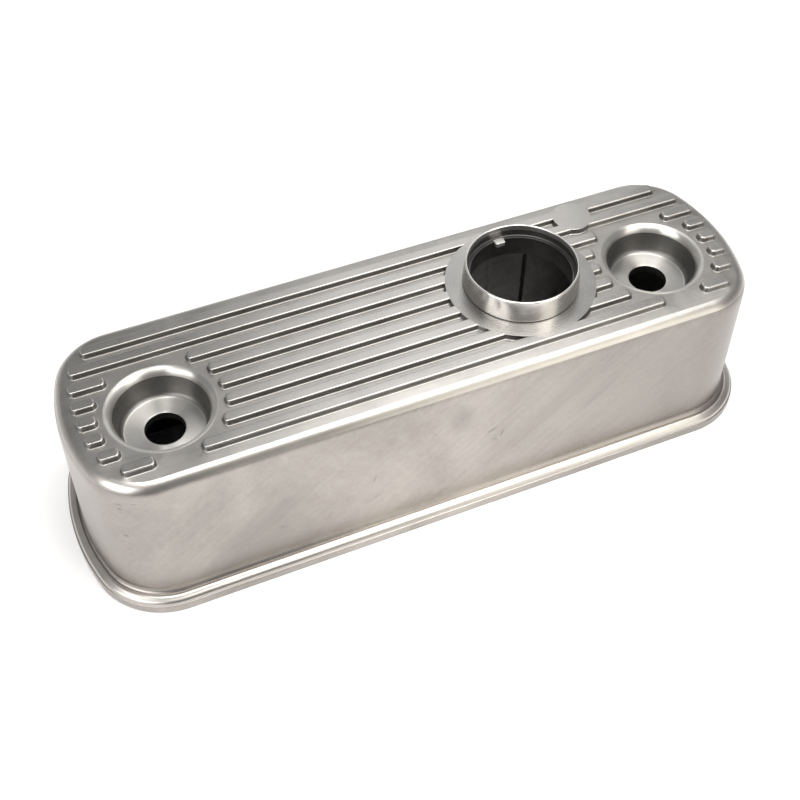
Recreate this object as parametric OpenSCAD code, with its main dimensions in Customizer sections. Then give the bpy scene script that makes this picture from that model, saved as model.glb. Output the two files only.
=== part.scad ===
// Ribbed cast-aluminium rocker cover for a small in-line engine.
// The cover is a deep tray, open underneath, with an outward sealing flange,
// two sunk stud wells, eight cooling ribs and a turned oil filler neck.
// Millimetres. Origin: middle of the open underside, on the gasket plane.
// +X runs along the cover towards the filler neck, +Z is up.

/* [Flange] */
// Length of the sealing flange
flange_l = 391.4; // [391:0.1:392]
// Width of the sealing flange
flange_w = 131.6; // [131:0.2:133]
// Corner radius of the sealing flange
flange_r = 47; // [46:0.5:49]
// Height of the flange's upright outer edge
flange_edge = 5.2; // [4:0.1:5.4]
// Height of the rolled bead on top of the flange
bead_h = 8.6; // [8.2:0.1:9]

/* [Walls] */
// Length of the box at the top of its walls
body_l = 372.8; // [372:0.2:373.2]
// Width of the box at the top of its walls
body_w = 110.2; // [109.6:0.2:111]
// Corner radius of the box at the top of its walls
body_r = 38.4; // [37.6:0.2:39]
// How far each wall leans out from its top to its foot
draft = 2.6; // [2.2:0.1:2.8]
// Wall thickness at the top
wall_t = 4; // [3.4:0.1:4.4]
// Radius of the rounded edge round the top
edge_r = 6; // [5:0.5:7]

/* [Top deck] */
// Height of the deck floor, between the ribs
floor_z = 91; // [88:0.5:94]
// Thickness of the deck
deck_t = 4; // [3.6:0.1:4.4]
// Height of the ribs and pads above the deck floor
rib_h = 3; // [2:0.1:4]
// Width of one rib
rib_w = 5.9; // [5:0.1:6.5]
// Distance from one rib to the next
rib_pitch = 11.49; // [11.2:0.01:11.6]
// Radius of the rounded rib ends
rib_end_r = 2.2; // [1:0.1:2.4]
// Inset of the outer rib ends from the box corners
rib_inset = 7; // [6:0.5:9]
// Length over the longest rows of ribs
row_l = 358.8; // [356:0.2:360]
// Radius of the bow that the row ends follow
row_bow_r = 99; // [90:1:110]
// Radius of the row ends near the corners
row_corner_r = 25.4; // [24:0.2:28]

/* [Stud wells] */
// Distance between the two stud holes
stud_spacing = 276.5; // [274:0.5:279]
// Distance of the stud holes in front of the centre line
stud_offset = 8.5; // [7:0.5:9]
// Diameter of each stud hole
stud_d = 20.6; // [16:0.1:22]
// Radius of the well at its rim
well_rim_r = 28.2; // [27:0.1:29]
// Radius of the well's wall below its rounded rim
well_r = 24.2; // [23.5:0.1:24.5]
// Radius of the flat bottom of the well
well_bottom_r = 22.4; // [21:0.1:22.8]
// Depth of the well's bottom below the deck floor
well_depth = 15.9; // [14:0.1:17]
// Thickness of the well's bottom
well_t = 4.8; // [4:0.1:6]
// Clearance circle that the ribs keep round each well
rib_gap_r = 31.1; // [30:0.1:32]

/* [Filler neck] */
// Position of the neck along the cover
neck_x = 62.2; // [60:0.1:65]
// Position of the neck across the cover
neck_y = 0.4; // [-1:0.1:2]
// Height of the neck above the ribs
neck_h = 13.2; // [11:0.1:15]
// Outer radius of the neck at its foot
neck_foot_r = 31.2; // [30.8:0.1:31.6]
// Outer radius of the neck at its rim
neck_rim_r = 30.2; // [29.9:0.1:30.6]
// Radius of the neck's upper bore, which takes the cap
neck_bore_r = 28.9; // [28.6:0.1:29.2]
// Radius of the neck's lower bore
neck_lower_r = 27.6; // [27.2:0.1:27.8]
// Radius of the spigot that is pressed into the deck
neck_spigot_r = 29.6; // [29.2:0.1:30]
// Radius of the round machined pad under the neck
pad_r = 40.4; // [39.5:0.1:41.5]
// Radius of the small blank pad behind the neck
small_pad_r = 11; // [9:0.5:12]

/* [Bayonet ring] */
// Depth of the ring's top face below the rim of the neck
ring_depth = 7.1; // [6.5:0.1:8]
// Thickness of the ring
ring_t = 2.6; // [2:0.1:3.2]
// Outer radius of the ring, which is pressed into a step in the neck
ring_outer_r = 28.5; // [28.2:0.1:28.5]
// Inner radius of the ring
ring_inner_r = 27.1; // [26.8:0.1:27.4]
// Inner radius of the two lugs
lug_inner_r = 24.4; // [23.5:0.1:25.5]
// Width of each lug
lug_w = 6; // [5:0.1:7]

/* [Hidden] */
$fn = 96;

top_z = floor_z + rib_h;              // top of the ribs and pads
under_z = floor_z - deck_t;           // underside of the deck
rim_z = top_z + neck_h;               // rim of the neck
tangent_z = floor_z - edge_r;         // top of the straight part of the wall
cove_z = 13.2;                        // top of the concave foot of the wall
crease_z = 7.9;                       // where the cove meets the bead
foot_r = body_r + draft;              // corner radius of the wall at its foot
body_cx = body_l / 2 - body_r;        // corner centres of the box
body_cy = body_w / 2 - body_r;
flange_cx = flange_l / 2 - flange_r;  // corner centres of the flange
flange_cy = flange_w / 2 - flange_r;
well_z = floor_z - well_depth;        // flat bottom of the wells
ring_z = rim_z - ring_depth;          // top face of the bayonet ring
small_pad_x = neck_x + 49.6;
small_pad_y = 35.4;
web_x = 70.8;                         // upright pad inside the rear wall,
web_w = 25.6;                         // with a narrow slot down its right edge
alloy = [0.72, 0.71, 0.69];

// n + 1 points on an arc, from angle a0 to angle a1
function arc(cx, cy, r, a0, a1, n) =
    [for (i = [0:n]) let (a = a0 + (a1 - a0) * i / n) [cx + r * cos(a), cy + r * sin(a)]];

// Flat rounded rectangle
module rounded(l, w, r) {
    square([l - 2 * r, w], center = true);
    square([l, w - 2 * r], center = true);
    for (x = [-1, 1], y = [-1, 1])
        translate([x * (l / 2 - r), y * (w / 2 - r)]) circle(r);
}

// Carries a section, drawn as radius and height, round a rounded rectangle
// whose corner centres are at (cx, cy)
module sweep(cx, cy) {
    for (q = [0:3])
        translate([(q == 0 || q == 3 ? 1 : -1) * cx, (q < 2 ? 1 : -1) * cy, 0])
            rotate([0, 0, q * 90]) rotate_extrude(angle = 90) children();
    for (s = [0, 180]) {
        rotate([0, 0, s]) translate([cx, cy, 0]) rotate([90, 0, 0])
            linear_extrude(2 * cy) children();
        rotate([0, 0, s]) translate([-cx, cy, 0]) rotate([90, 0, 90])
            linear_extrude(2 * cx) children();
    }
}

// Section of the box wall: cove at the foot, leaning wall, rounded top edge
module wall_section() {
    inner_foot = foot_r - wall_t - 0.4;
    inner_top = body_r - wall_t;
    polygon(concat(
        [[inner_foot, 0], [foot_r + 1.6, 0], [foot_r + 1.6, crease_z]],
        arc(foot_r + 5.3, cove_z, 5.3, 225, 180, 5),
        [[body_r, tangent_z]],
        arc(body_r - edge_r, tangent_z, edge_r, 15, 90, 5),
        [[inner_top - 6, floor_z], [inner_top - 6, under_z]],
        arc(inner_top - 4, under_z - 4, 4, 90, 0, 4)
    ));
}

// Section of the flange: upright edge, small ledge, rolled bead
module flange_section() {
    polygon(concat(
        [[flange_r - 10, 0], [flange_r, 0], [flange_r, flange_edge], [flange_r - 0.5, flange_edge + 0.3]],
        [for (i = [0:7]) let (a = 10 + i * 20)
            [flange_r - 4 + 3.4 * cos(a), flange_edge + 0.1 + (bead_h - flange_edge - 0.1) * sin(a)]],
        [[flange_r - 8, crease_z - 1.2], [flange_r - 10, crease_z - 1.2]]
    ));
}

// Half length of the row of ribs at distance y from the centre line: the row
// ends stand on a bow across the middle and on an arc near each corner
function row_end(y) =
    let (v = abs(y) + rib_w / 2, r = row_corner_r, e = row_bow_r,
         cy = body_w / 2 - rib_inset - r, ex = row_l / 2 - e,
         cx = ex + sqrt((e - r) * (e - r) - cy * cy), a = atan2(cy, cx - ex))
    v < cy + r * sin(a) ? ex + sqrt(e * e - v * v) : cx + sqrt(r * r - (v - cy) * (v - cy));
// Half width of the gap that the well leaves in the row at y
function row_gap(y) =
    let (d = max(0, abs(y + stud_offset) - rib_w / 2))
    d >= rib_gap_r ? 0 : sqrt(pow(rib_gap_r, 2) - pow(d, 2));

// One raised rib or slug with rounded ends, from x0 to x1, to the nearest 0.02
module rib(x0, x1, y) {
    mid = round((x0 + x1) * 50) / 100;
    len = round((x1 - x0) * 50) / 50;
    translate([mid, y, floor_z - 0.6]) linear_extrude(rib_h + 0.6)
        rounded(len, rib_w, rib_end_r);
}

// Eight rows; the six that meet a well are cut into a slug, a rib and a slug
module ribs() {
    for (k = [0:7]) {
        y = (3.5 - k) * rib_pitch;
        e = row_end(y);
        g = row_gap(y);
        s = stud_spacing / 2;
        if (g == 0) rib(-e, e, y);
        else {
            rib(-e, -s - g, y);
            rib(-s + g, s - g, y);
            rib(s + g, e, y);
        }
    }
}

// Outside of a stud well, below the deck
module well_shell() {
    rotate_extrude() polygon([
        [stud_d / 2 - 2, well_z - well_t], [well_bottom_r + 3.2, well_z - well_t],
        [well_bottom_r + 4.2, well_z - well_t + 1], [well_r + 4.2, under_z - 3],
        [well_r + 7.2, under_z], [well_r + 7.2, under_z + 1], [stud_d / 2 - 2, under_z + 1]]);
}

// Inside of a stud well: shallow lip, rounded rim, leaning wall, flat bottom
module well_hollow() {
    rotate_extrude() polygon(concat(
        [[0, well_z], [well_bottom_r - 1.6, well_z]],
        arc(well_bottom_r - 1.6, well_z + 1.6, 1.6, -60, 0, 3),
        [[well_r, floor_z - 3.4]],
        arc(well_r + 3.4, floor_z - 3.6, 3.4, 165, 105, 4),
        [[well_rim_r, floor_z], [well_rim_r, floor_z + 6], [0, floor_z + 6]]
    ));
}

module stud_places() {
    for (x = [-1, 1]) translate([x * stud_spacing / 2, -stud_offset, 0]) children();
}

module cover_casting() color(alloy) difference() {
    union() {
        sweep(body_cx, body_cy) wall_section();
        sweep(flange_cx, flange_cy) flange_section();
        translate([0, 0, under_z]) linear_extrude(deck_t)
            rounded(body_l - 2 * edge_r - 2, body_w - 2 * edge_r - 2, body_r - edge_r - 1);
        stud_places() well_shell();
        ribs();
        translate([neck_x, neck_y, floor_z - 0.6]) cylinder(r = pad_r, h = rib_h + 0.6);
        translate([small_pad_x, small_pad_y, floor_z - 0.6]) cylinder(r = small_pad_r, h = rib_h + 0.6);
        translate([web_x, body_w / 2 - wall_t - 1.4, 12]) cube([web_w, 4.6, under_z - 11]);
    }
    translate([web_x + web_w - 1.2, body_w / 2 - wall_t - 3, 14]) cube([1.2, 5.5, under_z - 21]);
    stud_places() well_hollow();
    stud_places() translate([0, 0, well_z - well_t - 1]) cylinder(d = stud_d, h = well_t + 2);
    translate([neck_x, neck_y, under_z - 1]) cylinder(r = neck_spigot_r, h = deck_t + rib_h + 2);
}

// Turned tube with a shoulder, pressed into the deck
module filler_neck() color([0.76, 0.75, 0.73]) translate([neck_x, neck_y, 0]) rotate_extrude() polygon([
    [neck_lower_r, under_z + 0.6], [neck_spigot_r, under_z + 0.6], [neck_spigot_r, top_z],
    [neck_foot_r, top_z], [neck_rim_r, rim_z - 0.5], [neck_rim_r - 0.5, rim_z],
    [neck_bore_r + 0.4, rim_z], [neck_bore_r, rim_z - 0.6],
    [neck_bore_r, ring_z], [ring_outer_r, ring_z], [ring_outer_r, ring_z - ring_t],
    [neck_lower_r, ring_z - ring_t]]);

// Ring inside the neck with the two lugs that hold the cap
module bayonet_ring() color([0.62, 0.61, 0.6]) translate([neck_x, neck_y, ring_z - ring_t]) difference() {
    cylinder(r = ring_outer_r, h = ring_t);
    difference() {
        translate([0, 0, -1]) cylinder(r = ring_inner_r, h = ring_t + 2);
        difference() {
            translate([-lug_w / 2, -ring_outer_r, -2]) cube([lug_w, 2 * ring_outer_r, ring_t + 4]);
            translate([0, 0, -3]) cylinder(r = lug_inner_r, h = ring_t + 6);
        }
    }
}

cover_casting();
filler_neck();
bayonet_ring();
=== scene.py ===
import math

import bmesh
import bpy
import numpy as np
from mathutils import Matrix, Vector
from mathutils.geometry import delaunay_2d_cdt


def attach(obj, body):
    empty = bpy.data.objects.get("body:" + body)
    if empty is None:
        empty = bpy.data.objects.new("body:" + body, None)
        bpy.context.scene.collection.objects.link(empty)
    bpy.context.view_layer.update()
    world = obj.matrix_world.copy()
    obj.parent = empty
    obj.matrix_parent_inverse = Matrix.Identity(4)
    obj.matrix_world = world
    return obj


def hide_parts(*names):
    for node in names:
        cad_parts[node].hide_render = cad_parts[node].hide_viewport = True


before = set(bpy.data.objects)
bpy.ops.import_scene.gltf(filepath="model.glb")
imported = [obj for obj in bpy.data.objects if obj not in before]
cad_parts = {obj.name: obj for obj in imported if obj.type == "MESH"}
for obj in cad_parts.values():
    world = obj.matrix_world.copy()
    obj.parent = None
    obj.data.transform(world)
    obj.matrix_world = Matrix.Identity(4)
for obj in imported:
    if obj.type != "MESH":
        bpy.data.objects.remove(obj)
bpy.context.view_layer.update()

scene = bpy.context.scene
MM = 0.001

# ------------------------------------------------------------------ sizes, in millimetres
# outlines: half length, half width, corner radius, radius of the bowed end
FLANGE = (195.7, 65.8, 41.1, 128.4)
BODY = (186.4, 55.15, 32.4, 106.2)
DRAFT = 2.6                # lean of the wall from its top to its foot
FLOOR_Z, RIB_H, TOP_Z = 91.0, 3.0, 94.0
EDGE_Z = 90.6             # height where the rounding over the wall starts
UNDER_Z = 87.0
RIB_W, PITCH, END_R = 5.9, 11.49, 2.2
WELLS = ((-138.25, -8.5), (138.25, -8.5))
NECK = (62.2, 0.4)
SPIGOT_R = 29.6
RIM_Z = 107.2
RING_TOP, RING_BOTTOM = 100.1, 97.5

# ------------------------------------------------------------------ mesh helpers


class Shell:
    """Collects points and faces; equal points are welded when it becomes a mesh."""

    def __init__(self):
        self.v, self.f, self.m = [], [], []

    def points(self, pts):
        base = len(self.v)
        self.v.extend([tuple(map(float, p)) for p in pts])
        return list(range(base, base + len(pts)))

    def face(self, ids, mat):
        self.f.append(tuple(ids))
        self.m.append(mat)

    def strip(self, a, b, mat):
        """Quads between two closed loops with the same number of points."""
        n = len(a)
        for i in range(n):
            j = (i + 1) % n
            self.face((a[i], a[j], b[j], b[i]), mat)

    def build(self, name, materials, sharp=35.0):
        me = bpy.data.meshes.new(name)
        me.from_pydata([(x * MM, y * MM, z * MM) for x, y, z in self.v], [], self.f)
        for m in materials:
            me.materials.append(m)
        me.polygons.foreach_set("material_index", self.m)
        bm = bmesh.new()
        bm.from_mesh(me)
        bmesh.ops.remove_doubles(bm, verts=bm.verts, dist=1e-6)
        bmesh.ops.dissolve_degenerate(bm, edges=bm.edges, dist=1e-7)
        bmesh.ops.recalc_face_normals(bm, faces=bm.faces)
        open_edges = sum(1 for e in bm.edges if len(e.link_faces) != 2)
        print("MESH", name, "faces", len(bm.faces), "open edges", open_edges,
              "volume mm3", round(bm.calc_volume() * 1e9))
        bm.to_mesh(me)
        bm.free()
        me.shade_smooth()
        me.set_sharp_from_angle(angle=math.radians(sharp))
        ob = bpy.data.objects.new(name, me)
        scene.collection.objects.link(ob)
        return ob


def weighted(ob):
    """Large flat faces keep flat shading, and roundings stay smooth."""
    md = ob.modifiers.new("flat_faces", "WEIGHTED_NORMAL")
    md.mode = "FACE_AREA"
    md.weight = 50
    md.keep_sharp = True
    return ob


def columns():
    """Columns of points shared by every outline loop: part of the outline, signs, place along that part."""
    xs = sorted(set([float(x) for x in range(-144, 145, 6)] + [68.6, 69.2, 69.8, 70.4, 71.0, 91.8, 92.0, 94.3, 94.5]))
    ne, nc = 14, 24
    ends = [-1.0 + 2.0 * i / ne for i in range(1, ne)]
    corner = [i / nc for i in range(nc + 1)]
    out = []
    for sx, sy in ((1, 1), (-1, -1)):
        out += [(0, sx, 1, t * sx) for t in ends]
        out += [(1, sx, sy, u) for u in corner]
        out += [(2, 1, sy, x) for x in (reversed(xs) if sy > 0 else xs)]
        out += [(1, -sx, sy, u) for u in reversed(corner)]
    return np.array(out)


COLS = columns()


def outline(o, d):
    """The outline o moved out by d: bowed ends, corner arcs and straight sides that meet smoothly."""
    l, w, rc, re = o
    cy, ex = w - rc, l - re
    cx = ex + math.sqrt((re - rc) ** 2 - cy * cy)
    bow = math.atan2(cy, cx - ex)
    kind, sx, sy, t = COLS.T
    a = np.where(kind == 0, t * bow, bow + (math.pi / 2 - bow) * t)
    ox = np.select([kind == 0, kind == 1], [sx * (ex + (re + d) * np.cos(a)), sx * (cx + (rc + d) * np.cos(a))], t)
    oy = np.select([kind == 0, kind == 1], [(re + d) * np.sin(a), sy * (cy + (rc + d) * np.sin(a))], sy * (w + d))
    return np.stack([ox, oy], axis=1)


def ring3(xy, z):
    return [(p[0], p[1], z) for p in xy]


def circle(c, r, n=128, start=0.0):
    return np.array([(c[0] + r * math.cos(start + 2 * math.pi * i / n),
                      c[1] + r * math.sin(start + 2 * math.pi * i / n)) for i in range(n)])


def arc(cx, cz, r, a0, a1, n):
    return [(cx + r * math.cos(math.radians(a0 + (a1 - a0) * i / n)),
             cz + r * math.sin(math.radians(a0 + (a1 - a0) * i / n))) for i in range(n + 1)]


def bar_outline(x0, x1, y, d, step=4.0, seg=8):
    """Rounded bar from x0 to x1, grown by d. The straight runs are sampled at the same places at every level."""
    r, hw = END_R, RIB_W / 2
    a, b = x0 + r, x1 - r
    k = hw - r
    rr = max(r + d, 0.05)
    pts = []
    xs = [a] + [x for x in np.arange(math.ceil(a / step) * step, b, step) if a + 0.8 < x < b - 0.8] + [b]

    def q(cx, cy, s):
        for i in range(seg + 1):
            t = math.radians(s + 90.0 * i / seg)
            pts.append((cx + rr * math.cos(t), cy + rr * math.sin(t)))

    q(b, y + k, 0)
    for x in reversed(xs[1:-1]):
        pts.append((x, y + k + rr))
    q(a, y + k, 90)
    q(a, y - k, 180)
    for x in xs[1:-1]:
        pts.append((x, y - k - rr))
    q(b, y - k, 270)
    return np.array(pts)


def in_poly(p, poly):
    """Even-odd test of many points against one polygon."""
    x, y = p[:, 0], p[:, 1]
    res = np.zeros(len(p), bool)
    lo, hi = poly.min(0), poly.max(0)
    box = (x > lo[0]) & (x < hi[0]) & (y > lo[1]) & (y < hi[1])
    if not box.any():
        return res
    xb, yb = x[box], y[box]
    a = poly
    b = np.roll(poly, -1, axis=0)
    c = np.zeros(len(xb), bool)
    for (x0, y0), (x1, y1) in zip(a, b):
        if y0 == y1:
            continue
        m = (y0 > yb) != (y1 > yb)
        c ^= m & (xb < (x1 - x0) * (yb - y0) / (y1 - y0) + x0)
    res[box] = c
    return res


def triangulate(pts, edges):
    r = delaunay_2d_cdt([Vector((float(p[0]), float(p[1]))) for p in pts], edges, [], 0, 1e-4)
    return r


def union(polys):
    """Outline of the union of closed polygons, as points and edges."""
    pts, edges = [], []
    for p in polys:
        base, n = len(pts), len(p)
        pts.extend(p.tolist())
        edges.extend((base + i, base + (i + 1) % n) for i in range(n))
    V, E, F, ov, oe, of = triangulate(pts, edges)
    V2 = np.array([(v.x, v.y) for v in V])
    for i, o in enumerate(ov):
        if o:
            V2[i] = pts[o[0]]
    tri = np.array(F)
    cen = V2[tri].mean(1)
    inside = np.zeros(len(cen), bool)
    for p in polys:
        inside |= in_poly(cen, p)
    seen = {}
    for f, s in zip(tri, inside):
        for i in range(3):
            e = (f[i], f[(i + 1) % 3])
            e = (min(e), max(e))
            seen[e] = seen.get(e, 0) + (1 if s else 0)
    keep = [e for e, c in seen.items() if c == 1]
    used = sorted({i for e in keep for i in e})
    back = {u: k for k, u in enumerate(used)}
    return V2[used], [(back[a], back[b]) for a, b in keep]


# ------------------------------------------------------------------ ribs, slugs and pads in plan
ROW_END_L = [165.9, 174.7, 177.6, 178.8, 178.7, 177.4, 174.2, 165.9]
ROW_END_R = [165.9, 174.7, 177.6, 178.8, 178.7, 177.4, 174.2, 165.9]


def row_gap(y):
    d = max(0.0, abs(y + 8.5) - RIB_W / 2)
    return 0.0 if d >= 31.1 else math.sqrt(31.1 ** 2 - d * d)


BARS = []
for k in range(8):
    y = (3.5 - k) * PITCH
    g = row_gap(y)
    el, er = ROW_END_L[k], ROW_END_R[k]
    if g == 0:
        BARS.append((-el, er, y))
    else:
        BARS.append((-el, -138.25 - g, y))
        BARS.append((-138.25 + g, 138.25 - g, y))
        BARS.append((138.25 + g, er, y))

# outward offset of the flank at each height above the deck floor
HEIGHTS = [0.0, 0.06, 0.25, 0.55, 0.95, 2.1, 2.42, 2.72, 2.92, 3.0]
RIB_OFF = [1.05, 0.76, 0.50, 0.34, 0.25, 0.08, 0.0, -0.15, -0.38, -0.75]
PAD_OFF = [1.00, 0.72, 0.46, 0.31, 0.23, 0.10, 0.06, 0.03, -0.04, -0.18]


def deck_top(shell, mat_floor, mat_rib, mat_pad, mat_flank, outer):
    pts, edges, zs = [], [], []

    def add(p, e, z):
        base = len(pts)
        pts.extend([tuple(q) for q in p])
        zs.extend([z] * len(p))
        edges.extend((base + a, base + b) for a, b in e)

    def loop_edges(n):
        return [(i, (i + 1) % n) for i in range(n)]

    for h, ro, po in zip(HEIGHTS, RIB_OFF, PAD_OFF):
        polys = [bar_outline(x0, x1, y, ro) for x0, x1, y in BARS]
        polys.append(circle(NECK, 40.4 + po, 168))
        polys.append(circle((111.8, 35.4), 11.0 + po, 64))
        p, e = union(polys)
        add(p, e, FLOOR_Z + h)
    add(outer, loop_edges(len(outer)), EDGE_Z)
    well_loops = [circle(w, 28.2, 128) for w in WELLS]
    for w in well_loops:
        add(w, loop_edges(len(w)), FLOOR_Z)
    bore = circle(NECK, SPIGOT_R, 128)
    add(bore, loop_edges(len(bore)), TOP_Z)
    V, E, F, ov, oe, of = triangulate(pts, edges)
    P = np.zeros((len(V), 3))
    lost = 0
    for i, (v, o) in enumerate(zip(V, ov)):
        if o:
            P[i] = (*pts[o[0]], zs[o[0]])
        else:
            lost += 1
            P[i] = (v.x, v.y, FLOOR_Z)
    print("DECK points", len(V), "triangles", len(F), "unplanned crossings", lost)
    tri = np.array(F)
    cen = P[tri].mean(1)
    hole = in_poly(cen[:, :2], bore)
    for w in well_loops:
        hole |= in_poly(cen[:, :2], w)
    ids = shell.points(P)
    rn = np.hypot(cen[:, 0] - NECK[0], cen[:, 1] - NECK[1])
    for f, h, c, r in zip(tri, hole, cen, rn):
        if h:
            continue
        if r < 40.35 and c[2] > 93.9:
            m = mat_pad
        elif c[2] > 93.5:
            m = mat_rib
        # rib flanks and foot fillets take a darker copy of the alloy: painted shade
        elif c[2] > 91.12:
            m = mat_flank
        else:
            m = mat_floor
        shell.face([ids[i] for i in f], m)
    return well_loops, bore


def deck_under(shell, mat, outer, well_loops, bore, z):
    pts, edges = [], []
    for lp in [outer, *well_loops, bore]:
        base, n = len(pts), len(lp)
        pts.extend([tuple(q) for q in lp])
        edges.extend((base + i, base + (i + 1) % n) for i in range(n))
    V, E, F, ov, oe, of = triangulate(pts, edges)
    P = np.array([(*(pts[o[0]] if o else (v.x, v.y)), z) for v, o in zip(V, ov)])
    tri = np.array(F)
    cen = P[tri].mean(1)[:, :2]
    hole = in_poly(cen, bore)
    for w in well_loops:
        hole |= in_poly(cen, w)
    ids = shell.points(P)
    for f, h in zip(tri, hole):
        if not h:
            shell.face([ids[i] for i in f], mat)


# ------------------------------------------------------------------ the casting
def lean(z):
    """How far the leaning wall stands outside the box outline at height z."""
    return DRAFT * max(85.0 - z, 0.0) / (85.0 - 13.2)


def make_casting(mats):
    WALL, DECK, RIBTOP, PAD, WELL, WELL_WALL, FLANK, INSIDE, SHADE_BLACK, EDGE = range(10)
    s = Shell()
    rows = []          # (xy loop, z, material of the strip that follows)

    def longer(xy, z):
        # the end walls stand a little steeper than the sides
        return xy * np.array([1.0 + 1.4 / 186.4 * min(max((z - 14.8) / 65.0, 0.0), 1.0), 1.0])

    def add(o, d, z, mat=WALL):
        rows.append((longer(outline(o, d), z) if o is BODY else outline(o, d), z, mat))

    # underside of the flange, upright edge, small ledge
    for d, z in ((-0.4, 0.0), (-0.1, 0.12), (0.0, 0.45), (0.0, 2.5), (0.0, 4.75), (-0.08, 5.02), (-0.3, 5.18), (-0.55, 5.22)):
        add(FLANGE, d, z)
    # rolled bead; its inner side runs to the foot of the box wall
    crease = outline(BODY, DRAFT + 1.72)
    top = outline(FLANGE, -4.5)
    # the bead rows and the middle of the top rounding use the edge alloy: slightly smoother as a more polished edge,
    # and lighter in colour as a painted highlight band
    for d, z in ((-0.66, 5.34), (-0.70, 5.65), (-0.82, 6.15), (-1.05, 6.65), (-1.40, 7.06), (-1.80, 7.36), (-2.25, 7.60), (-2.70, 7.82),
                 (-3.10, 8.04), (-3.5, 8.28), (-3.95, 8.48), (-4.5, 8.6)):
        add(FLANGE, d, z, EDGE)
    for t, z in ((0.35, 8.56), (0.65, 8.36), (0.85, 8.10), (1.0, 7.95)):
        rows.append((top * (1 - t) + crease * t, z, EDGE))
    for a in (56, 50, 44, 38, 32, 26, 20, 14, 8, 2):
        t = math.radians(a)
        z = 10.7 - 3.1 * math.sin(t)
        add(BODY, DRAFT + 0.28 + 3.1 * (1.0 - math.cos(t)), z)
    for d, z in ((0.20, 11.8), (0.12, 13.2), (0.04, 14.8)):
        add(BODY, lean(z) + d, z)
    for z in (17.0, 26.0, 36.0, 46.0, 56.0, 66.0, 75.0, 80.0, 82.2):
        add(BODY, lean(z), z)
    # rounding over to the deck; it starts a little below the deck floor, worn down by the polishing
    er, tilt = 7.91, 14.0
    ez = EDGE_Z - er * math.cos(math.radians(tilt))
    for a in (88.0, 82.0, 75.0, 68.0, 60.0, 52.0, 44.0, 36.0, 29.0, 22.0, 17.5):
        t = math.radians(a)
        add(BODY, -er + er * math.sin(t), ez + er * math.cos(t), DECK if a < 33.0 else EDGE if a < 65.0 else WALL)
    outer_top = longer(outline(BODY, -6.0), EDGE_Z)
    rows.append((outer_top, EDGE_Z, DECK))
    prev = None
    for k, (xy, z, m) in enumerate(rows):
        ids = s.points(ring3(xy, z))
        if prev is not None:
            s.strip(prev, ids, rows[k - 1][2])
        prev = ids
        if k == 0:
            first = ids
    well_loops, bore = deck_top(s, DECK, RIBTOP, PAD, FLANK, outer_top)

    # inside: bottom face, leaning inner wall with the upright pad and its slot, fillet, underside of the deck
    rear = (COLS[:, 0] == 2) & (COLS[:, 2] > 0)
    px = COLS[:, 3]
    rise = np.clip((px - 68.6) / 2.4, 0.0, 1.0) * np.clip((120.0 - px) / 6.0, 0.0, 1.0)
    rise = rise * rise * (3.0 - 2.0 * rise)
    pad = rear & (px > 68.6) & (px < 120.0)
    slot = rear & (px > 91.9) & (px < 94.4)
    inner = []

    def inner_ring(d, z, with_pad, with_slot):
        xy = outline(BODY, d)
        if with_pad:
            xy[pad, 1] -= np.maximum(xy[pad, 1] - 49.7, 0.0) * rise[pad]
        if with_slot:
            xy[slot, 1] = 53.4
        inner.append((xy, z))

    for d, z in ((-1.5, 0.0), (-1.85, 0.15), (-2.0, 0.5)):
        inner_ring(d, z, False, False)
    for z, p, q in ((6, 0, 0), (11.9, 0, 0), (12.1, 1, 0), (13.9, 1, 0), (14.1, 1, 1), (30, 1, 1), (46, 1, 1), (62, 1, 1),
                    (79.9, 1, 1), (80.1, 1, 0), (83.0, 1, 0)):
        inner_ring(-2.0 - 2.0 * z / 83.0, float(z), p, q)
    for a in (18, 36, 54, 72, 90):
        t = math.radians(a)
        inner_ring(-8.0 + 4.0 * math.cos(t), 83.0 + 4.0 * math.sin(t), 1, 0)
    prev = first
    for xy, z in inner:
        ids = s.points(ring3(xy, z))
        for i in range(len(ids)):
            j = (i + 1) % len(ids)
            # the slot walls get the near-black material: painted shade in the narrow slot
            s.face((ids[i], ids[j], prev[j], prev[i]), SHADE_BLACK if slot[i] and slot[j] else INSIDE)
        prev = ids
    under_outer = inner[-1][0]

    # wells
    prof = [(28.2 - 4.1 * math.sin(t), 91.0 - 4.8 * (1.0 - math.cos(t)))
            for t in (math.radians(90.0 * i / 14) for i in range(15))]
    lip = len(prof) - 3
    prof += [(23.7, 83.8), (23.2, 81.1), (22.75, 79.2)]
    foot = len(prof)
    prof += arc(19.6, 78.1, 3.0, -8, -90, 9)
    prof += [(18.0, 75.1), (14.5, 75.1), (11.6, 75.1), (10.75, 75.1), (10.45, 74.98), (10.3, 74.7), (10.3, 72.5), (10.3, 70.6), (10.6, 70.3)]
    outer_prof = [(25.0, 70.3), (25.6, 70.3), (26.3, 70.6), (26.6, 71.3), (28.2, 82.5), (28.5, 84.0), (29.3, 85.7), (30.4, 86.7), (31.4, 87.0)]
    under_loops = []
    for (wx, wy), loop in zip(WELLS, well_loops):
        prev = None
        for k, (r, z) in enumerate(prof + outer_prof):
            lp = circle((wx, wy), r, 128)
            ids = s.points(ring3(lp, z))
            if prev is not None:
                # the cup wall and most of its foot fillet take a darker copy of the well alloy: painted shade
                m = WELL_WALL if lip < k <= foot + 7 else WELL
                # the bore of each well hole gets the near-black material: painted shade
                s.strip(prev, ids, INSIDE if k >= len(prof) else SHADE_BLACK if k > len(prof) - 4 else m)
            prev = ids
        under_loops.append(circle((wx, wy), 31.4, 128))
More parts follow.
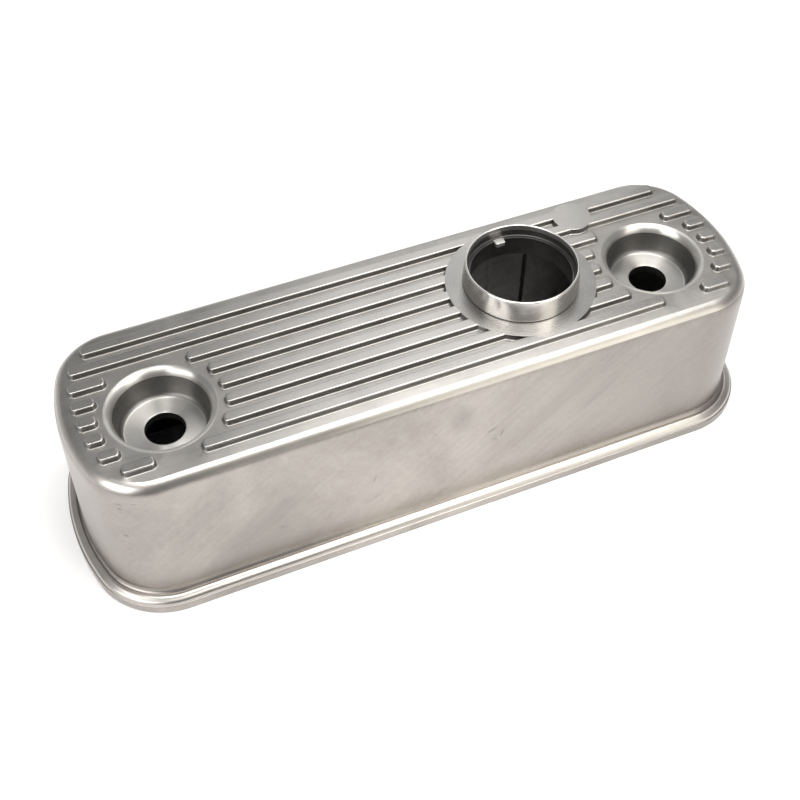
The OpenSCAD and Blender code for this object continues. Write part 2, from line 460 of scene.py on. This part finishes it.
    # bore through the deck
    a = s.points(ring3(bore, TOP_Z))
    b = s.points(ring3(bore, UNDER_Z))
    s.strip(a, b, INSIDE)
    deck_under(s, INSIDE, under_outer, under_loops, bore, UNDER_Z)
    ob = s.build("rocker_cover_casting", mats, sharp=40)
    return weighted(ob)


def revolve(name, prof, centre, mats, mat_of, n=192, sharp=40, closed=True):
    s = Shell()
    rows = []
    for r, z in prof:
        rows.append(s.points(ring3(circle(centre, r, n), z)))
    m = len(rows)
    for k in range(m if closed else m - 1):
        s.strip(rows[k], rows[(k + 1) % m], mat_of(k))
    return weighted(s.build(name, mats, sharp=sharp))


def make_neck(mats):
    # outside from the joint with the pad up to the rim, over it and down the bore
    prof = [(29.55, 87.6), (29.55, 93.0), (29.55, 94.02), (30.62, 94.02), (30.72, 94.3), (31.0, 94.5), (31.14, 94.75),
            (31.12, 95.4), (31.0, 97.2), (30.8, 99.8), (30.6, 102.4), (30.4, 105.0), (30.28, 106.45),
            (30.22, 106.75), (30.05, 107.0), (29.8, 107.17), (29.6, 107.2), (29.35, 107.2), (29.15, 107.12), (28.98, 106.95),
            (28.9, 106.65), (28.9, 105.6), (28.9, 104.4), (28.95, 104.0), (29.15, 103.7), (29.15, 102.0), (29.15, 100.3), (28.95, 100.12), (28.7, 100.1), (28.5, 100.1),
            (28.5, RING_BOTTOM), (27.75, RING_BOTTOM), (27.6, 97.35), (27.6, 94.0), (27.6, 90.0), (27.6, 87.8), (27.8, 87.6)]

    def finish_or_shade(k):
        # 0 outside and rim; 1 upper bore, a darker copy of the alloy as painted shade; 2 near black as painted shade,
        # in the groove at the foot and down the bore
        return 2 if k in (2, 3, 4) or k >= 23 else 0 if k < 20 else 1

    return revolve("filler_neck_turned", prof, NECK, mats, finish_or_shade, n=192)


def make_ring(mats):
    """Spring-steel ring with two square lugs, pressed into its step in the neck."""
    half = 2.7
    ri, lug, ro = 27.1, 24.4, 28.48
    fr = 0.6          # fillet where a lug meets the ring
    inner = []
    a_lug = math.degrees(math.asin(half / ri))

    def seg(a0, a1, n):
        for i in range(n + 1):
            t = math.radians(a0 + (a1 - a0) * i / n)
            inner.append((ri * math.cos(t), ri * math.sin(t)))

    for base in (90.0, 270.0):
        # lug: from its right side to its left side, seen from above
        s = 1.0 if base == 90.0 else -1.0
        yb = math.sqrt(ri * ri - (half + fr) ** 2)
        yt = math.sqrt(lug * lug - half * half)
        c = 0.45
        pts = [(half + fr, yb), (half + 0.18, yb - 0.14), (half, yb - 0.6)]
        pts += [(half, yt + c + 0.12), (half - 0.13, yt + 0.13 + c * 0.4), (half - c, yt + 0.03)]
        pts += [(1.2, math.sqrt(lug ** 2 - 1.44)), (0.0, lug), (-1.2, math.sqrt(lug ** 2 - 1.44))]
        pts += [(-half + c, yt + 0.03), (-half + 0.13, yt + 0.13 + c * 0.4), (-half, yt + c + 0.12)]
        pts += [(-half, yb - 0.6), (-half - 0.18, yb - 0.14), (-half - fr, yb)]
        inner.extend([(s * x, s * y) for x, y in pts])
        a0 = math.degrees(math.atan2(yb, -(half + fr))) if base == 90.0 else math.degrees(math.atan2(-yb, half + fr)) + 360.0
        a1 = (270.0 - (90.0 - math.degrees(math.atan2(yb, half + fr)))) if base == 90.0 else 360.0 + math.degrees(math.atan2(yb, half + fr))
        n = 56
        for i in range(1, n):
            t = math.radians(a0 + (a1 - a0) * i / n)
            inner.append((ri * math.cos(t), ri * math.sin(t)))
    inner = np.array(inner)
    # outer loop with one point for each inner point, at the same direction
    ang = np.arctan2(inner[:, 1], inner[:, 0])
    ang = np.unwrap(ang)
    outer = np.stack([ro * np.cos(ang), ro * np.sin(ang)], 1)
    d = outer - inner
    L = np.linalg.norm(d, axis=1, keepdims=True)
    u = d / L
    c = 0.2

    def at(t):
        return inner + u * t

    s = Shell()
    zt, zb = RING_TOP, RING_BOTTOM
    cx, cy = NECK
    loops = []
    for pts, z in ((at(0.0), zb + c), (at(0.06), zb + 0.06), (at(c), zb), (outer - u * c, zb), (outer, zb + c),
                   (outer, zt - c), (outer - u * c, zt), (at(c), zt), (at(0.06), zt - 0.06), (at(0.0), zt - c)):
        loops.append(s.points([(x + cx, y + cy, z) for x, y in pts]))
    m = len(loops)
    lugs = np.abs(inner[:, 0]) < half + 0.2
    for k in range(m):
        a, b = loops[k], loops[(k + 1) % m]
        for i in range(len(a)):
            j = (i + 1) % len(a)
            # material 1: the lugs in a light steel, and a painted highlight along the top inner edge on the left side
            s.face((a[i], a[j], b[j], b[i]), 1 if (lugs[i] and lugs[j]) or (k == 8 and inner[i, 0] < -2.0 and inner[i, 1] > -12.0) else 0)
    return weighted(s.build("bayonet_ring_steel", mats, sharp=40))


# ------------------------------------------------------------------ materials
class Nodes:
    def __init__(self, name):
        self.mat = bpy.data.materials.new(name)
        self.mat.use_nodes = True
        self.t = self.mat.node_tree
        self.t.nodes.clear()
        self.out = self.t.nodes.new("ShaderNodeOutputMaterial")
        self.bsdf = self.t.nodes.new("ShaderNodeBsdfPrincipled")
        self.t.links.new(self.bsdf.outputs[0], self.out.inputs[0])
        self.bsdf.inputs["Metallic"].default_value = 1.0
        self.geo = self.t.nodes.new("ShaderNodeNewGeometry")
        self.pos = self.geo.outputs["Position"]

    def link(self, a, b):
        self.t.links.new(a, b)

    def put(self, sock, value):
        if hasattr(value, "is_output"):
            self.t.links.new(value, sock)
        else:
            sock.default_value = value

    def scale(self, vec, s, rot=(0, 0, 0), loc=(0, 0, 0)):
        n = self.t.nodes.new("ShaderNodeMapping")
        self.link(vec, n.inputs["Vector"])
        n.inputs["Scale"].default_value = s
        n.inputs["Rotation"].default_value = [math.radians(a) for a in rot]
        n.inputs["Location"].default_value = loc
        return n.outputs[0]

    def along(self, rot, s):
        """Position turned by rot and then stretched by s."""
        return self.scale(self.scale(self.pos, (1, 1, 1), rot), s)

    def mark(self, x, z, rx, rz, turn=0.0):
        """1 inside a small patch of the front wall, fading to 0 at its rim; sizes in millimetres."""
        t = math.radians(turn)
        cx, cz = x * math.cos(t) + z * math.sin(t), -x * math.sin(t) + z * math.cos(t)
        v = self.scale(self.pos, (1, 1, 1), (0, turn, 0))
        v = self.scale(v, (1000.0 / rx, 0.0, 1000.0 / rz), loc=(-cx / rx, 0.0, -cz / rz))
        n = self.t.nodes.new("ShaderNodeVectorMath")
        n.operation = "LENGTH"
        self.link(v, n.inputs[0])
        return self.ramp(n.outputs["Value"], 1.0, 0.35)

    def noise(self, vec, scale, detail=3.0, rough=0.5, distort=0.0):
        n = self.t.nodes.new("ShaderNodeTexNoise")
        self.link(vec, n.inputs["Vector"])
        n.inputs["Scale"].default_value = scale
        n.inputs["Detail"].default_value = detail
        n.inputs["Roughness"].default_value = rough
        n.inputs["Distortion"].default_value = distort
        return n.outputs[0]

    def voronoi(self, vec, scale, out="Distance", rand=1.0):
        n = self.t.nodes.new("ShaderNodeTexVoronoi")
        self.link(vec, n.inputs["Vector"])
        n.inputs["Scale"].default_value = scale
        n.inputs["Randomness"].default_value = rand
        return n.outputs[out]

    def math(self, op, a, b=None, c=None, clamp=False):
        n = self.t.nodes.new("ShaderNodeMath")
        n.operation = op
        n.use_clamp = clamp
        self.put(n.inputs[0], a)
        if b is not None:
            self.put(n.inputs[1], b)
        if c is not None:
            self.put(n.inputs[2], c)
        return n.outputs[0]

    def ramp(self, fac, lo, hi, a=0.0, b=1.0):
        n = self.t.nodes.new("ShaderNodeMapRange")
        n.clamp = True
        self.link(fac, n.inputs[0])
        for i, v in enumerate((lo, hi, a, b)):
            n.inputs[i + 1].default_value = v
        return n.outputs[0]

    def mix(self, fac, a, b):
        n = self.t.nodes.new("ShaderNodeMix")
        n.data_type = "RGBA"
        self.put(n.inputs[0], fac)
        self.put(n.inputs[6], a)
        self.put(n.inputs[7], b)
        return n.outputs[2]

    def bump(self, height, strength, distance, normal=None):
        n = self.t.nodes.new("ShaderNodeBump")
        n.inputs["Strength"].default_value = strength
        n.inputs["Distance"].default_value = distance
        self.link(height, n.inputs["Height"])
        if normal is not None:
            self.link(normal, n.inputs["Normal"])
        return n.outputs[0]

    def xyz(self, vec):
        n = self.t.nodes.new("ShaderNodeSeparateXYZ")
        self.link(vec, n.inputs[0])
        return n.outputs[0], n.outputs[1], n.outputs[2]

    def join(self, x, y, z):
        n = self.t.nodes.new("ShaderNodeCombineXYZ")
        for s, v in zip(n.inputs, (x, y, z)):
            self.put(s, v)
        return n.outputs[0]


def col(r, g, b):
    return (r, g, b, 1.0)


def polished_cast(name, base, dark, rough, rot, stretch, tone_scale=14.0, grain=0.12, tone=1.0, marks=(), end_shade=0.0, wave=0.10):
    """Cast alloy, linished and then polished: soft cloudy tone, fine scratches one way, a few small pits."""
    n = Nodes(name)
    cloud = n.noise(n.pos, tone_scale, 5.0, 0.6, 0.5)
    mott = n.noise(n.pos, 420.0, 3.0, 0.6)
    g1 = n.noise(n.along(rot, stretch), 1.0, 4.0, 0.6)
    rot2 = (rot[0] + 3, rot[1] - 11, rot[2] + 6)
    g2 = n.noise(n.along(rot2, tuple(a * 2.3 for a in stretch)), 1.0, 2.0, 0.6)
    fine = n.noise(n.pos, 1500.0, 2.0, 0.6)
    mix = n.math("ADD", n.math("MULTIPLY", cloud, 0.70), n.math("MULTIPLY", g1, 0.16))
    mix = n.math("ADD", mix, n.math("MULTIPLY", mott, 0.14))
    c = n.mix(n.ramp(mix, 0.5 - 0.17 / tone, 0.5 + 0.17 / tone), dark, base)
    # longer scratches: thin dark lines where the stretched noise peaks, grouped in patches
    patch = n.ramp(n.noise(n.pos, 21.0, 2.0, 0.5), 0.48, 0.62)
    scr = n.math("MULTIPLY", n.ramp(g2, 0.66, 0.73), patch)
    c = n.mix(n.math("MULTIPLY", scr, 0.34), c, col(0.20, 0.19, 0.185))
    h = n.math("ADD", n.math("MULTIPLY", g1, 0.5), n.math("MULTIPLY", fine, 0.35))
    h = n.math("ADD", h, n.math("MULTIPLY", mott, 0.3))
    h = n.math("SUBTRACT", h, n.math("MULTIPLY", scr, 0.8))
    # scattered casting pits
    gate = n.ramp(n.noise(n.pos, 17.0, 2.0, 0.5), 0.62, 0.68)
    pit = n.math("MULTIPLY", n.ramp(n.voronoi(n.pos, 95.0), 0.05, 0.02), gate)
    c = n.mix(n.math("MULTIPLY", pit, 0.6), c, col(0.12, 0.115, 0.11))
    h = n.math("SUBTRACT", h, n.math("MULTIPLY", pit, 6.0))
    if end_shade:
        # painted shade: the wall colour darkens towards its right end, and less strongly towards its left end, with a
        # cloudy border
        end_shade_ramp = n.math("ADD", n.xyz(n.pos)[0], n.math("MULTIPLY", n.math("SUBTRACT", cloud, 0.5), 0.12))
        c = n.mix(n.ramp(end_shade_ramp, 0.0, 0.17, 0.0, end_shade), c, col(0.16, 0.15, 0.145))
        c = n.mix(n.ramp(end_shade_ramp, -0.06, -0.16, 0.0, 0.4 * end_shade), c, col(0.16, 0.15, 0.145))
    front = None
    for x, z, rx, rz, turn, depth in marks:
        if front is None:
            front = n.ramp(n.xyz(n.pos)[1], -0.035, -0.045)
        m = n.math("MULTIPLY", n.mark(x, z, rx, rz, turn), front)
        m = n.math("MULTIPLY", m, n.ramp(mott, 0.35, 0.6, 0.5, 1.0))
        c = n.mix(n.math("MULTIPLY", m, depth), c, col(0.11, 0.105, 0.10))
    n.link(c, n.bsdf.inputs["Base Color"])
    rv = n.math("ADD", n.math("MULTIPLY", n.math("SUBTRACT", g1, 0.5), 0.10), n.math("MULTIPLY", n.math("SUBTRACT", cloud, 0.5), 0.14))
    n.link(n.math("ADD", rv, rough, clamp=True), n.bsdf.inputs["Roughness"])
    nb = n.bump(n.noise(n.pos, 26.0, 2.0, 0.5), wave, 0.004)
    n.link(n.bump(h, grain, 0.0004, nb), n.bsdf.inputs["Normal"])
    return n.mat


def turned(name, centre, base, dark, rough, aniso, rings=900.0, both=False, mark=0.10):
    """Lathe-turned alloy: concentric tool marks round a vertical axis, with a stretched highlight.
    both: the same centre again on the other side of x = 0."""
    n = Nodes(name)
    x, y, z = n.xyz(n.pos)
    if both:
        dx = n.math("MULTIPLY", n.math("SUBTRACT", n.math("ABSOLUTE", x), centre[0] * MM), n.math("SIGN", x))
    else:
        dx = n.math("SUBTRACT", x, centre[0] * MM)
    dy = n.math("SUBTRACT", y, centre[1] * MM)
    rad = n.math("SQRT", n.math("ADD", n.math("MULTIPLY", dx, dx), n.math("MULTIPLY", dy, dy)))
    ringv = n.join(n.math("ADD", rad, n.math("MULTIPLY", z, 0.7)), 0.0, 0.0)
    r1 = n.noise(n.scale(ringv, (rings * 1.6, 1, 1)), 1.0, 4.0, 0.65)
    r2 = n.noise(n.scale(ringv, (rings * 2.3, 1, 1)), 1.0, 2.0, 0.6)
    cloud = n.noise(n.pos, 60.0, 3.0, 0.55)
    tone = n.math("ADD", n.math("MULTIPLY", r1, 0.35), n.math("MULTIPLY", cloud, 0.65))
    c = n.mix(n.ramp(tone, 0.3, 0.7), dark, base)
    n.link(c, n.bsdf.inputs["Base Color"])
    r = n.math("ADD", n.math("MULTIPLY", n.math("SUBTRACT", r2, 0.5), 0.12), rough, clamp=True)
    n.link(r, n.bsdf.inputs["Roughness"])
    n.bsdf.inputs["Anisotropic"].default_value = aniso
    tang = n.join(n.math("MULTIPLY", dy, -1.0), dx, 0.0)
    across = n.t.nodes.new("ShaderNodeVectorMath")
    across.operation = "CROSS_PRODUCT"
    n.link(n.geo.outputs["Normal"], across.inputs[0])
    n.link(tang, across.inputs[1])
    norm = n.t.nodes.new("ShaderNodeVectorMath")
    norm.operation = "NORMALIZE"
    n.link(across.outputs[0], norm.inputs[0])
    n.link(norm.outputs[0], n.bsdf.inputs["Tangent"])
    h = n.math("ADD", r1, n.math("MULTIPLY", r2, 0.4))
    n.link(n.bump(h, mark, 0.0003), n.bsdf.inputs["Normal"])
    return n.mat


def as_cast(name, base, dark, rough, ends=0.0):
    """Unmachined inside of the casting: fine sandy skin, darker oily tone, and painted shade near black towards both
    ends when ends is given.
    """
    n = Nodes(name)
    n.bsdf.inputs["Metallic"].default_value = 0.85
    a = n.noise(n.pos, 900.0, 4.0, 0.65)
    b = n.noise(n.pos, 38.0, 4.0, 0.6, 0.4)
    c = n.mix(n.ramp(n.math("ADD", n.math("MULTIPLY", a, 0.4), n.math("MULTIPLY", b, 0.6)), 0.33, 0.67), dark, base)
    if ends:
        # painted shade: near black beyond this distance from the middle, towards both ends of the inside
        c = n.mix(n.ramp(n.math("ABSOLUTE", n.xyz(n.pos)[0]), ends - 0.02, ends + 0.01), c, col(0.05, 0.047, 0.043))
    n.link(c, n.bsdf.inputs["Base Color"])
    n.link(n.math("ADD", n.math("MULTIPLY", n.math("SUBTRACT", b, 0.5), 0.2), rough, clamp=True), n.bsdf.inputs["Roughness"])
    n.link(n.bump(a, 0.35, 0.0006), n.bsdf.inputs["Normal"])
    return n.mat


MARKS = ((-172.0, 79.5, 2.2, 0.6, 0, 0.55), (-165.5, 81.0, 2.0, 0.6, 0, 0.5), (-172.0, 76.0, 1.2, 0.9, 0, 0.6),
         (-172.2, 54.5, 1.5, 1.1, 0, 0.65), (-45.3, 44.0, 0.5, 4.0, -20, 0.5), (-96.5, 30.5, 2.2, 1.8, 0, 0.3),
         (3.6, 68.0, 9.0, 12.0, 0, 0.30), (21.0, 52.0, 4.5, 1.0, 20, 0.5), (27.0, 47.0, 0.8, 4.0, -15, 0.5), (23.0, 44.0, 3.0, 0.7, -25, 0.4),
         (-100.0, 42.0, 42.0, 9.0, 34, 0.16), (-118.0, 38.0, 26.0, 3.5, 40, 0.14), (60.0, 58.0, 40.0, 8.0, 36, 0.16), (84.0, 52.0, 22.0, 3.0, 42, 0.14))
# the wall also gets painted shade towards both ends
wall = polished_cast("alloy_wall", col(0.485, 0.448, 0.419), col(0.335, 0.308, 0.288), 0.34, (0, 38, 0), (14, 260, 340),
                     tone_scale=14.0, tone=1.5, grain=0.09, marks=MARKS, end_shade=0.54)
deck = polished_cast("alloy_deck", col(0.485, 0.47, 0.447), col(0.345, 0.333, 0.316), 0.34, (0, 0, 4), (40, 700, 300), tone_scale=24.0)
ribtop = polished_cast("alloy_rib", col(0.492, 0.479, 0.457), col(0.384, 0.373, 0.358), 0.29, (0, 0, 2), (30, 800, 300), tone_scale=24.0, grain=0.06, wave=0.04)
# edge alloy: a lighter copy of the wall alloy, a painted highlight on the bead and the top rounding
edge = polished_cast("alloy_edge", col(0.56, 0.53, 0.495), col(0.43, 0.407, 0.38), 0.31, (0, 0, 3), (14, 300, 300), tone_scale=18.0, grain=0.06)
# darker, rougher copy of the alloy for the rib flanks; the darkness is painted shade
flank = polished_cast("alloy_flank", col(0.27, 0.26, 0.247), col(0.16, 0.154, 0.146), 0.42, (0, 0, 0), (60, 300, 300), tone_scale=40.0)
pad = turned("alloy_pad", NECK, col(0.43, 0.419, 0.40), col(0.345, 0.336, 0.321), 0.27, 0.82, mark=0.012)
well = turned("alloy_well", (138.25, -8.5), col(0.66, 0.642, 0.612), col(0.523, 0.51, 0.485), 0.34, 0.9, both=True, mark=0.02)
# darker copy of the well alloy: painted shade on the cup wall
well_wall = turned("alloy_well_wall", (138.25, -8.5), col(0.215, 0.209, 0.20), col(0.145, 0.141, 0.135), 0.42, 0.4, both=True, mark=0.05)
# the inside is painted near black towards both ends as shade
inside = as_cast("alloy_inside", col(0.44, 0.425, 0.41), col(0.20, 0.19, 0.182), 0.55, ends=0.13)
# near-black material: painted shade in the well hole bores and in the slot of the rear pad
hole = as_cast("hole_painted_shade", col(0.05, 0.048, 0.045), col(0.03, 0.029, 0.027), 0.6)
neck_out = turned("alloy_neck", NECK, col(0.75, 0.73, 0.70), col(0.66, 0.64, 0.612), 0.23, 0.6, mark=0.004)
# darker copies of the neck alloy: painted shade in the bore, and near black deeper down and in the foot groove
neck_in = turned("alloy_neck_bore", NECK, col(0.36, 0.352, 0.34), col(0.23, 0.223, 0.215), 0.52, 0.4, mark=0.02)
neck_deep_shade = turned("alloy_neck_deep_shade", NECK, col(0.17, 0.165, 0.16), col(0.09, 0.087, 0.083), 0.45, 0.3)
steel = turned("ring_steel", NECK, col(0.16, 0.157, 0.152), col(0.10, 0.098, 0.095), 0.38, 0.3)
# light steel for the lugs, also used as a painted highlight on the ring's top inner edge
light_steel_and_highlight = turned("ring_steel_light_and_highlight", NECK, col(0.92, 0.91, 0.89), col(0.82, 0.81, 0.79), 0.42, 0.2)

casting = make_casting([wall, deck, ribtop, pad, well, well_wall, flank, inside, hole, edge])
neck = make_neck([neck_out, neck_in, neck_deep_shade])
ring = make_ring([steel, light_steel_and_highlight])
for ob, node, slot in ((casting, "cover_casting", "cast_alloy"), (neck, "filler_neck", "turned_alloy"), (ring, "bayonet_ring", "ring_steel")):
    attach(ob, "root")
    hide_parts(node)

# ------------------------------------------------------------------ floor, light and camera
me = bpy.data.meshes.new("floor")
R = 6.0
FZ = -0.0001     # just clear of the sealing face
me.from_pydata([(-R, -R, FZ), (R, -R, FZ), (R, R, FZ), (-R, R, FZ)], [], [(0, 1, 2, 3)])
floor = bpy.data.objects.new("floor", me)
scene.collection.objects.link(floor)
fm = bpy.data.materials.new("floor_paper")
fm.use_nodes = True
b = fm.node_tree.nodes["Principled BSDF"]
b.inputs["Base Color"].default_value = (0.93, 0.93, 0.93, 1)
b.inputs["Roughness"].default_value = 0.9
me.materials.append(fm)

world = bpy.data.worlds.new("studio")
scene.world = world
world.use_nodes = True
bg = world.node_tree.nodes["Background"]
# even room, brighter low down all round, with a dimmer side towards the front of the part
wt = world.node_tree
tc = wt.nodes.new("ShaderNodeTexCoord")


def wmap(sock, values):
    m = wt.nodes.new("ShaderNodeMapRange")
    m.interpolation_type = "SMOOTHSTEP"
    for i, v in enumerate(values):
        m.inputs[i + 1].default_value = v
    wt.links.new(sock, m.inputs[0])
    return m.outputs[0]


def wmath(op, a, b):
    m = wt.nodes.new("ShaderNodeMath")
    m.operation = op
    for s, v in zip(m.inputs, (a, b)):
        if hasattr(v, "is_output"):
            wt.links.new(v, s)
        else:
            s.default_value = v
    return m.outputs[0]


dot = wt.nodes.new("ShaderNodeVectorMath")
dot.operation = "DOT_PRODUCT"
dot.inputs[1].default_value = (-0.24, -0.87, 0.43)
wt.links.new(tc.outputs["Generated"], dot.inputs[0])
sep = wt.nodes.new("ShaderNodeSeparateXYZ")
wt.links.new(tc.outputs["Generated"], sep.inputs[0])
front_dim = wmap(dot.outputs["Value"], (0.70, 0.97, 1.0, 0.0))
low = wmath("MULTIPLY", wmap(sep.outputs[2], (0.02, 0.36, 0.50, 0.0)), front_dim)
wt.links.new(wmath("ADD", wmath("ADD", low, 0.20), wmath("MULTIPLY", front_dim, 0.13)), bg.inputs[1])
bg.inputs[0].default_value = (1.0, 1.0, 1.0, 1)


def softbox(name, loc, size_x, size_y, radiance, color=(1, 1, 1), aim=(0.0, 0.0, 0.04)):
    """A soft rectangular light of even brightness, facing the part."""
    ld = bpy.data.lights.new(name, "AREA")
    ld.shape = "RECTANGLE"
    ld.size, ld.size_y = size_x, size_y
    ld.energy = radiance * math.pi * size_x * size_y
    ld.color = color
    ob = bpy.data.objects.new(name, ld)
    scene.collection.objects.link(ob)
    ob.location = loc
    ob.rotation_mode = "QUATERNION"
    ob.rotation_quaternion = (Vector(aim) - Vector(loc)).to_track_quat("-Z", "Y")
    return ob


softbox("overhead_left", (-0.22, -0.24, 1.14), 0.41, 0.66, 2.0, (1.0, 0.985, 0.95), aim=(-0.22, -0.24, 0.0))
softbox("overhead_right", (0.33, -0.19, 1.14), 0.69, 0.76, 5.6, (1.0, 0.99, 0.965), aim=(0.33, -0.19, 0.0))
softbox("key_spot", (-0.44, -0.12, 2.5), 0.45, 0.45, 16.0, (1.0, 0.995, 0.98), aim=(0.06, 0.0, 0.1))
softbox("front_right_box", (0.52, -0.80, 0.86), 0.50, 0.70, 1.5, (1.0, 0.97, 0.88))
softbox("overhead_back", (0.42, 0.40, 1.14), 0.50, 0.42, 1.7, (1.0, 0.985, 0.95), aim=(0.42, 0.40, 0.0))
softbox("front_low_box", (0.50, -0.95, 0.36), 0.62, 0.50, 1.7, (1.0, 0.96, 0.87))
softbox("back_low_box", (0.44, 0.98, 0.52), 0.70, 0.42, 0.7)
softbox("back_panel", (0.41, 0.85, 1.15), 0.54, 0.74, 1.14)
softbox("right_panel", (1.00, 0.30, 1.05), 0.50, 0.60, 0.15)
softbox("left_box", (-1.08, -0.50, 0.84), 1.0, 0.85, 3.8)

AZ, EL, ROLL = math.radians(-23.55288), math.radians(49.73296), math.radians(-0.62433)
back = Vector((math.sin(AZ) * math.cos(EL), -math.cos(AZ) * math.cos(EL), math.sin(EL)))
target = Vector((-11.28689, -9.53238, 40.0)) * MM
cd = bpy.data.cameras.new("camera")
cam = bpy.data.objects.new("camera", cd)
scene.collection.objects.link(cam)
cd.sensor_width = 36.0
cd.lens = 1243.30555 * 36.0 / 800.0
cd.clip_start, cd.clip_end = 0.01, 50.0
fwd = -back
right = fwd.cross(Vector((0, 0, 1))).normalized()
down = fwd.cross(right).normalized()
right2 = right * math.cos(ROLL) + down * math.sin(ROLL)
down2 = -right * math.sin(ROLL) + down * math.cos(ROLL)
rot = Matrix((right2, -down2, -fwd)).transposed()
cam.matrix_world = Matrix.Translation(target + back * 0.67822318) @ rot.to_4x4()
scene.camera = cam

scene.view_settings.view_transform = "Standard"
scene.view_settings.look = "None"
